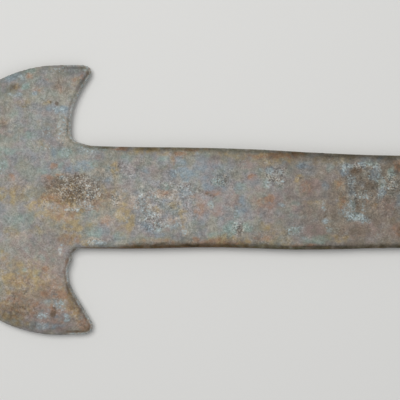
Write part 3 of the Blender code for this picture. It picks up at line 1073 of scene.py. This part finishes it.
def stain_masks(places, normals):
    """How strong each kind of corrosion is at every point, from 0 to 1."""
    plan = warped(places)
    above = ramp(normals[:, 2], *BELOW_TO_ABOVE)
    masks = {}
    for seed, (kind, stains) in enumerate(STAINS.items(), start=FIRST_STAIN_SEED):
        amount, size = SPREAD[kind]
        chance = amount * ramp(clouds(places, size, seed, PATCH_OCTAVES), *CHANCE_RISE)
        chance *= 1 - (1 - CHANCE_ON_PLACED_FACE) * above
        placed = np.zeros(len(places))
        for stain in stains.values():
            placed = np.maximum(placed, patch(plan, *stain))
        masks[kind] = np.clip(np.maximum(chance, placed * above), 0, 1)
    return masks


def rim_distance(places):
    """How far each point lies in plan from the solid's side walls, in millimetres."""
    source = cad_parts[NODE].data
    corners = [(v.co.x / MM, v.co.y / MM, 0) for v in source.vertices]
    walls = [tuple(p.vertices) for p in source.polygons if abs(p.normal.z) < UPRIGHT]
    tall = corners + [(x, y, STRIP_HEIGHT) for x, y, _ in corners]
    count = len(corners)
    strips = []
    for a, b, c in walls:
        i, j = max(
            ((a, b), (b, c), (c, a)), key=lambda pair: math.dist(corners[pair[0]], corners[pair[1]])
        )
        strips.append((i, j, j + count, i + count))
    tree = BVHTree.FromPolygons(tall, strips)
    return np.array([tree.find_nearest((x, y, STRIP_HEIGHT / 2))[3] for x, y, _ in places])


def horn_share(places):
    """1 round the inner edges of both horns and 0 on the shank."""
    return ramp(np.abs(places[:, 1]), *HORNS_OUTWARDS) * ramp(places[:, 0], *BEHIND_BLADE)


def side_walls(normals):
    """1 on the upright walls and 0 on the faces."""
    return 1 - ramp(np.abs(normals[:, 2]), *WALL_TO_FACE)


def rim_band(places, normals, rim):
    """Dirt and painted shade: 1 on the walls and the shank's worn edges, falling to 0 a little way in."""
    horns = horn_share(places)
    lower = ramp(-places[:, 1], *LOWER_HALF)
    start = BAND_START + BAND_LATER_BELOW * lower
    along = rising(BAND_ON_BLADE, ramp(places[:, 0], start, start + BAND_RISE))
    along *= 1 - BAND_LOSS_AT_BUTT * lower * ramp(places[:, 0], *BUTT_HALF)
    near = (1 - ramp(rim, *BAND_FADE)) * (BAND_STRENGTH + BAND_MORE_BELOW * lower)
    walls = BAND_ON_WALLS * side_walls(normals) * ramp(places[:, 0], *SHANK_WALLS) * (1 - horns)
    band = np.maximum(near * along * (1 - BAND_LOSS_ON_HORNS * horns), walls)
    dark_line = ramp(rim, *DARK_LINE_RISE) * (1 - ramp(rim, *DARK_LINE_FADE)) * horns
    return np.maximum(band, DARK_LINE_STRENGTH * dark_line)


def lay_rims(masks, places, normals, rim):
    """Adds the dirt and painted shade along the shank's edges, and the pale wear and painted highlight
    along the horns', to the masks.
    """
    band = rim_band(places, normals, rim)
    rusty = ramp(-places[:, 1], *LOWER_HALF) * (1 - ramp(places[:, 0], *PAST_RUSTY_EDGE))
    # Pale wear on the horns' arris and painted highlight on their walls
    pale = np.maximum(1 - ramp(rim, *PALE_RIM_FADE), PAINTED_WALL_HIGHLIGHT * side_walls(normals))
    pale *= horn_share(places)
    for kind, added in (
        ("grime_and_edge_shade", band),
        ("rust", RUST_ON_BAND * band * rusty),
        ("cream", pale),
        ("frost", FROST_ON_PALE_RIM * pale),
    ):
        masks[kind] = np.maximum(masks[kind], added)


def line_distance(plan, points):
    """Distance in plan from each point to a line through several points."""
    best = np.full(len(plan), np.inf)
    for start, end in zip(points, points[1:]):
        run = end - start
        share = np.clip((plan - start) @ run / (run @ run), 0, 1)
        best = np.minimum(best, np.linalg.norm(plan - start - share[:, None] * run, axis=1))
    return best


def groove_depths(plan):
    """How deep the grooves and the pits lie at each point, in metres."""
    depth = np.zeros(len(plan))
    for points, half_width, groove_depth in GROOVES.values():
        line = [on_head(across, down) for across, down in points]
        reach = line_distance(plan, line) / (half_width * PIXEL)
        depth += groove_depth * PIXEL * MM * (1 - ramp(reach, *GROOVE_FADE))
    for across, down, radius, pit_depth in PITS.values():
        reach = np.linalg.norm(plan - on_head(across, down), axis=1) / (radius * PIXEL)
        depth += pit_depth * PIXEL * MM * (1 - ramp(reach, *PIT_FADE))
    return depth


def ragged_area(masks, ragged, kind, raggedness, rise):
    """One kind's stain with a ragged outline."""
    return ramp(masks[kind] + raggedness * ragged, *rise)


def depths(places, normals, masks, relief, rim):
    """How far each point lies below the solid's surface, in metres."""
    flat = np.abs(normals[:, 2])
    depth = relief.margin * rising(MARGIN_ON_WALLS, flat)
    hammered = clouds(places, relief.hammer_size / MM, HAMMER_SEED, FINE_OCTAVES)
    depth += relief.hammer_depth * rising(HAMMER_ON_WALLS, flat) * hammered
    grain = sum(
        strength * clouds(places, relief.grain_size / MM / finer, seed, FINE_OCTAVES)
        for finer, strength, seed in GRAIN_LAYERS
    )
    gritty = rising(GRAIN_ON_SMOOTH_SKIN, masks["grit"])
    covered = 1 - (1 - GRAIN_ON_BARE_METAL) * masks["mauve"]
    depth += relief.grain_depth * gritty * covered * grain
    ragged = clouds(places, RAGGED_SIZE, RAGGED_SEED, FINE_OCTAVES)
    crust = ragged_area(masks, ragged, *CRUST) * rising(CRUST_ON_SMOOTH_SKIN, masks["grit"])
    depth -= relief.crust_height * crust
    depth += DIRT_DEPTH * relief.crust_height * ragged_area(masks, ragged, *DIRT)
    plan = places[:, :2] + GROOVE_PUSH * ragged[:, None]
    depth += groove_depths(plan) * ramp(normals[:, 2], *ARRIS_TO_FACE)
    slope = (1 - np.clip(rim / (relief.arris_width / MM), 0, 1)) ** 2
    worn = ramp(places[:, 0], *SHANK) * ramp(flat, *ARRIS_TO_FACE)
    return depth + relief.arris_drop * slope * worn


def weathered_mesh(relief):
    """The fine mesh of the head, with its relief cut in and its stains laid as attributes."""
    mesh = fine_mesh(merged_copy(NODE), relief.mesh_size)
    places, normals = read_points(mesh)
    masks = stain_masks(places, normals)
    rim = rim_distance(places)
    depth = depths(places, normals, masks, relief, rim)
    moved = np.clip(places * MM - normals * depth[:, None], np.array(LOW), np.array(HIGH))
    mesh.vertices.foreach_set("co", moved.astype(np.float32).ravel())
    lay_rims(masks, places, normals, rim)
    span = HOLLOW_SPAN * relief.grain_depth
    masks["hollow"] = np.clip(0.5 + (depth - relief.margin) / span, 0, 1)
    for kind, values in masks.items():
        attribute = mesh.attributes.new(kind, "FLOAT", "POINT")
        attribute.data.foreach_set("value", values.astype(np.float32))
    mesh.update()
    mesh.shade_smooth()
    return mesh


def new_group(name, inputs, output):
    """A node group that turns a vector and some numbers into one number, and its inner sockets."""
    group = bpy.data.node_groups.new(name, "ShaderNodeTree")
    group.interface.new_socket("Vector", in_out="INPUT", socket_type="NodeSocketVector")
    for socket_name, value in inputs.items():
        socket = group.interface.new_socket(
            socket_name, in_out="INPUT", socket_type="NodeSocketFloat"
        )
        socket.default_value = value
    group.interface.new_socket(output, in_out="OUTPUT", socket_type="NodeSocketFloat")
    start = group.nodes.new("NodeGroupInput")
    end = group.nodes.new("NodeGroupOutput")
    return group, start.outputs, end.inputs[output]


def feed(tree, socket, value):
    """Gives a socket its value: another socket to link, a number, or three numbers of a colour."""
    if isinstance(value, bpy.types.NodeSocket):
        tree.links.new(value, socket)
    elif isinstance(value, (int, float)):
        socket.default_value = value
    else:
        socket.default_value = (*value, 1)


def add_math(tree, operation, first, second=0.0):
    """A Math node. Each operand is a socket or a number."""
    node = tree.nodes.new("ShaderNodeMath")
    node.operation = operation
    feed(tree, node.inputs[0], first)
    feed(tree, node.inputs[1], second)
    return node.outputs["Value"]


def add_noise(tree, vector, scale, detail, roughness):
    """A 3D noise, as a value round 0.5. The scale is a socket or a number."""
    node = tree.nodes.new("ShaderNodeTexNoise")
    feed(tree, node.inputs["Vector"], vector)
    feed(tree, node.inputs["Scale"], scale)
    feed(tree, node.inputs["Detail"], detail)
    feed(tree, node.inputs["Roughness"], roughness)
    return node.outputs["Fac"]


def add_ramp(tree, value, low, high):
    """A smooth rise from 0 to 1 between two values, which are sockets or numbers."""
    node = tree.nodes.new("ShaderNodeMapRange")
    node.interpolation_type = "SMOOTHSTEP"
    feed(tree, node.inputs["Value"], value)
    feed(tree, node.inputs["From Min"], low)
    feed(tree, node.inputs["From Max"], high)
    return node.outputs["Result"]


def ragged_film_group():
    """Breaks a soft mask up into a ragged film with a grain."""
    defaults = {"Mask": 0.0, "Grain Size": 1.0, "Raggedness": 0.8, "Cover": 1.0}
    group, given, result = new_group("ragged_film", defaults, "Film")
    scale = add_math(group, "DIVIDE", 1.0, given["Grain Size"])
    grain = add_noise(group, given["Vector"], scale, *FILM_NOISE)
    swing = add_math(group, "SUBTRACT", grain, NOISE_MIDDLE)
    swing = add_math(group, "MULTIPLY", swing, given["Raggedness"])
    swing = add_math(group, "MULTIPLY", swing, FILM_SWING)
    swing = add_math(group, "ADD", swing, 1.0)
    value = add_math(group, "MULTIPLY", given["Mask"], swing)
    film = add_ramp(group, value, *FILM_RISE)
    feed(group, result, add_math(group, "MULTIPLY", film, given["Cover"]))
    return group


def specks_group():
    """Small scattered specks, denser where their mask is stronger and none where it is 0."""
    defaults = {"Mask": 0.0, "Size": 0.7, "Threshold": 0.62}
    group, given, result = new_group("specks", defaults, "Specks")
    scale = add_math(group, "DIVIDE", 1.0, given["Size"])
    grain = add_noise(group, given["Vector"], scale, *SPECK_NOISE)
    lift = add_math(group, "MULTIPLY", given["Mask"], SPECK_LIFT)
    low = add_math(group, "SUBTRACT", given["Threshold"], lift)
    high = add_math(group, "ADD", low, SPECK_SOFTNESS)
    specks = add_ramp(group, grain, low, high)
    gate = add_ramp(group, given["Mask"], *SPECK_RISE)
    feed(group, result, add_math(group, "MULTIPLY", specks, gate))
    return group


def veins_group():
    """A net of thin broken lines."""
    group, given, result = new_group("veins", {"Size": 1.6, "Width": 0.03}, "Veins")
    scale = add_math(group, "DIVIDE", 1.0, given["Size"])
    grain = add_noise(group, given["Vector"], scale, *VEIN_NOISE)
    swing = add_math(group, "ABSOLUTE", add_math(group, "SUBTRACT", grain, NOISE_MIDDLE))
    lines = add_ramp(group, swing, given["Width"], 0.0)
    breaks_scale = add_math(group, "MULTIPLY", scale, VEIN_BREAK_SCALE)
    breaks = add_noise(group, given["Vector"], breaks_scale, *VEIN_BREAK_NOISE)
    breaks = add_ramp(group, breaks, *VEIN_BREAK_RISE)
    feed(group, result, add_math(group, "MULTIPLY", lines, breaks))
    return group


class CopperFinish:
    """Builds the patinated copper material, layer on layer."""

    def __init__(self, patina):
        """Makes the bare material, the node groups and the coordinates in millimetres."""
        self.patina = patina
        self.material = bpy.data.materials.new(SLOT)
        self.material.use_nodes = True
        self.tree = self.material.node_tree
        self.shader = self.tree.nodes["Principled BSDF"]
        self.films = ragged_film_group()
        self.specks = specks_group()
        self.veins = veins_group()
        coordinates = self.tree.nodes.new("ShaderNodeTexCoord")
        mapping = self.tree.nodes.new("ShaderNodeMapping")
        mapping.inputs["Scale"].default_value = (1 / MM, 1 / MM, 1 / MM)
        self.tree.links.new(coordinates.outputs["Object"], mapping.inputs["Vector"])
        self.vector = mapping.outputs["Vector"]

    def times(self, first, second):
        """Two values multiplied."""
        return add_math(self.tree, "MULTIPLY", first, second)

    def plus(self, first, second):
        """Two values added."""
        return add_math(self.tree, "ADD", first, second)

    def mask(self, kind):
        """The mask of one kind of corrosion."""
        node = self.tree.nodes.new("ShaderNodeAttribute")
        node.attribute_name = kind
        return node.outputs["Fac"]

    def shifted(self, shift):
        """The millimetre coordinates moved aside, so that two noises differ."""
        node = self.tree.nodes.new("ShaderNodeVectorMath")
        node.operation = "ADD"
        node.inputs[1].default_value = [shift * part for part in SHIFT_WAY]
        self.tree.links.new(self.vector, node.inputs[0])
        return node.outputs["Vector"]

    def noise(self, shift, size, detail, roughness):
        """A noise of the given size in millimetres."""
        return add_noise(self.tree, self.shifted(shift), 1 / size, detail, roughness)

    def placed(self, group, shift, **values):
        """A placed copy of a node group, with its inputs set or linked."""
        node = self.tree.nodes.new("ShaderNodeGroup")
        node.node_tree = group
        feed(self.tree, node.inputs["Vector"], self.shifted(shift))
        for name, value in values.items():
            feed(self.tree, node.inputs[name.replace("_", " ")], value)
        return node.outputs[0]

    def film(self, kind, shift, size, raggedness, cover):
        """The ragged film of one kind of corrosion."""
        return self.placed(
            self.films, shift,
            Mask=self.mask(kind), Grain_Size=size, Raggedness=raggedness, Cover=cover,
        )

    def net(self, shift, size, width, strength, more_if_gritty):
        """A net of veins, stronger where the surface is gritty."""
        lines = self.placed(self.veins, shift, Size=size, Width=width)
        return self.times(lines, self.plus(self.times(self.mask("grit"), more_if_gritty), strength))

    def mix(self, under, over, factor, blend="MIX"):
        """One colour laid over another. Colours are sockets or three numbers."""
        node = self.tree.nodes.new("ShaderNodeMix")
        node.data_type = "RGBA"
        node.blend_type = blend
        feed(self.tree, node.inputs[MIX_FACTOR], factor)
        feed(self.tree, node.inputs[MIX_UNDER], under)
        feed(self.tree, node.inputs[MIX_OVER], over)
        return node.outputs[MIX_RESULT]

    def grey(self, value, low, high):
        """A value from 0 to 1 turned into a grey between two brightnesses."""
        node = self.tree.nodes.new("ShaderNodeMapRange")
        names = ("Value", "From Min", "From Max", "To Min", "To Max")
        for name, given in zip(names, (value, *GREY_SWING, low, high)):
            feed(self.tree, node.inputs[name], given)
        combine = self.tree.nodes.new("ShaderNodeCombineColor")
        for channel in combine.inputs:
            feed(self.tree, channel, node.outputs["Result"])
        return combine.outputs["Color"]

    def ground(self):
        """The metal's own skin, in four greys."""
        patina = self.patina
        broad = add_ramp(self.tree, self.noise(*BROAD_GROUND), *BROAD_TURN)
        cool = self.mix(patina.grey_ground, patina.olive_ground, broad)
        warm = self.mix(patina.lilac_ground, patina.sand_ground, broad)
        narrow = add_ramp(self.tree, self.noise(*NARROW_GROUND), *NARROW_TURN)
        return self.mix(cool, warm, narrow)

    def build(self):
        """Wires the whole material."""
        patina = self.patina
        grit = self.mask("grit")
        colour = self.ground()
        films = {}
        for kind, values in FILMS.items():
            films[kind] = self.film(kind, *values)
            colour = self.mix(colour, getattr(patina, kind), films[kind])
        colour = self.mix(colour, patina.chalk, self.net(*PALE_VEINS))
        colour = self.mix(colour, patina.painted_shade_and_dark_tone, self.net(*DARK_VEINS), "MULTIPLY")
        specks = {}
        for name, (kind, tint, strength, shift, size, threshold) in SPECKS.items():
            specks[name] = self.placed(
                self.specks, shift, Mask=self.mask(kind), Size=size, Threshold=threshold
            )
            colour = self.mix(colour, getattr(patina, tint), self.times(specks[name], strength))
        # Multiplying tints over everything: painted shade with darker tone, then dirt with painted shade
        # along the edges
        for kind, values in SHADES.items():
            colour = self.mix(colour, getattr(patina, kind), self.film(kind, *values), "MULTIPLY")
        fine = self.noise(*FINE_GRAIN)
        graininess = self.plus(self.times(grit, MORE_IF_GRITTY), GRAININESS)
        for value, greys, strength in (
            (fine, FINE_GREYS, graininess),
            (self.noise(*MEDIUM_GRAIN), MEDIUM_GREYS, graininess),
            (self.noise(*COARSE_GRAIN), COARSE_GREYS, 1.0),
            (self.mask("hollow"), HOLLOW_GREYS, 1.0),
        ):
            colour = self.mix(colour, self.grey(value, *greys), strength, "MULTIPLY")
        feed(self.tree, self.shader.inputs["Base Color"], colour)
        self.shader.inputs["Metallic"].default_value = 0.0
        self.shader.inputs["Specular IOR Level"].default_value = SPECULAR
        rough = self.plus(self.times(films["mauve"], BARE_METAL_ROUGHNESS), patina.roughness)
        rough = self.plus(rough, self.times(films["frost"], POWDER_ROUGHNESS))
        feed(self.tree, self.shader.inputs["Roughness"], rough)
        height = self.times(fine, self.plus(grit, GRAIN_BUMP))
        height = self.plus(height, self.times(specks["white"], WHITE_BUMP))
        height = self.plus(height, self.times(specks["powder"], POWDER_BUMP))
        bump = self.tree.nodes.new("ShaderNodeBump")
        feed(self.tree, bump.inputs["Strength"], BUMP_STRENGTH)
        feed(self.tree, bump.inputs["Distance"], BUMP_DEPTH * MM)
        feed(self.tree, bump.inputs["Height"], height)
        feed(self.tree, self.shader.inputs["Normal"], bump.outputs["Normal"])
        return self.material


def add_area_light(name, power, place, side, tint):
    """A square soft light that faces the head."""
    data = bpy.data.lights.new(name, "AREA")
    data.shape = "SQUARE"
    data.size = side
    data.energy = power
    data.color = tint
    light = bpy.data.objects.new(name, data)
    light.location = place
    light.rotation_euler = (-Vector(place)).to_track_quat("-Z", "Y").to_euler()
    bpy.context.scene.collection.objects.link(light)


def add_floor(stage):
    """The plain pale floor."""
    bm = bmesh.new()
    bmesh.ops.create_grid(bm, x_segments=1, y_segments=1, size=stage.floor_size / 2)
    mesh = bpy.data.meshes.new("floor")
    bm.to_mesh(mesh)
    bm.free()
    material = bpy.data.materials.new("floor")
    material.use_nodes = True
    shader = material.node_tree.nodes["Principled BSDF"]
    shader.inputs["Base Color"].default_value = (*stage.floor_colour, 1)
    shader.inputs["Roughness"].default_value = FLOOR_ROUGHNESS
    shader.inputs["Specular IOR Level"].default_value = FLOOR_SPECULAR
    mesh.materials.append(material)
    floor = bpy.data.objects.new("floor", mesh)
    bpy.context.scene.collection.objects.link(floor)
    return floor


def add_camera(stage):
    """The camera straight above the head, framed as the photograph is."""
    data = bpy.data.cameras.new("camera")
    data.sensor_width = SENSOR_WIDTH
    to_middle = stage.camera_height + (HIGH.z - LOW.z) / 2
    data.lens = data.sensor_width * to_middle / stage.view_width
    camera = bpy.data.objects.new("camera", data)
    camera.location = (*stage.view_centre, HIGH.z + stage.camera_height)
    bpy.context.scene.collection.objects.link(camera)
    bpy.context.scene.camera = camera


def set_world(stage):
    """Even pale light from all round."""
    world = bpy.data.worlds.new("studio")
    world.use_nodes = True
    background = world.node_tree.nodes["Background"]
    background.inputs["Color"].default_value = (*SKY_COLOUR, 1)
    background.inputs["Strength"].default_value = stage.sky
    bpy.context.scene.world = world


class AXEHEAD_OT_weathered_head(bpy.types.Operator):
    """Build the weathered head round its solid."""

    bl_idname = "axehead.weathered_head"
    bl_label = "Weathered Head"

    def execute(self, context):
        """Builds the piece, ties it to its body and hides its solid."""
        mesh = weathered_mesh(context.scene.axehead_relief)
        mesh.materials.clear()
        mesh.materials.append(CopperFinish(context.scene.axehead_patina).build())
        head = bpy.data.objects.new(PIECE, mesh)
        context.scene.collection.objects.link(head)
        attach(head, BODY)
        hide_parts(NODE)
        return {"FINISHED"}


class AXEHEAD_OT_stage(bpy.types.Operator):
    """Set up the floor, the light and the camera."""

    bl_idname = "axehead.stage"
    bl_label = "Stage"

    def execute(self, context):
        """Stands the studio round the head."""
        stage = context.scene.axehead_stage
        add_floor(stage)
        set_world(stage)
        add_area_light("key", stage.key_power, *LIGHTS["key"])
        add_area_light("fill", stage.fill_power, *LIGHTS["fill"])
        add_camera(stage)
        context.scene.view_settings.view_transform = "Standard"
        return {"FINISHED"}


class AXEHEAD_PT_panel(bpy.types.Panel):
    """Lists the axe head's settings and steps."""

    bl_idname = "AXEHEAD_PT_panel"
    bl_label = "Axe Head"
    bl_space_type = "VIEW_3D"
    bl_region_type = "UI"
    bl_category = "Axe Head"

    def draw(self, context):
        """Draws a box for each group of settings, then the two steps."""
        for settings in (
            context.scene.axehead_relief,
            context.scene.axehead_patina,
            context.scene.axehead_stage,
        ):
            box = self.layout.box()
            for name in settings.bl_rna.properties.keys():
                if name not in ("rna_type", "name"):
                    box.prop(settings, name)
        self.layout.operator(AXEHEAD_OT_weathered_head.bl_idname)
        self.layout.operator(AXEHEAD_OT_stage.bl_idname)


CLASSES = (
    ReliefSettings,
    PatinaSettings,
    StageSettings,
    AXEHEAD_OT_weathered_head,
    AXEHEAD_OT_stage,
    AXEHEAD_PT_panel,
)


def register():
    """Registers the classes and the settings."""
    for cls in CLASSES:
        bpy.utils.register_class(cls)
    bpy.types.Scene.axehead_relief = PointerProperty(type=ReliefSettings)
    bpy.types.Scene.axehead_patina = PointerProperty(type=PatinaSettings)
    bpy.types.Scene.axehead_stage = PointerProperty(type=StageSettings)


def unregister():
    """Takes the settings and the classes away."""
    del bpy.types.Scene.axehead_relief
    del bpy.types.Scene.axehead_patina
    del bpy.types.Scene.axehead_stage
    for cls in reversed(CLASSES):
        bpy.utils.unregister_class(cls)


def main():
    """Builds everything."""
    register()
    bpy.ops.axehead.weathered_head()
    bpy.ops.axehead.stage()


if __name__ == "__main__":
    main()
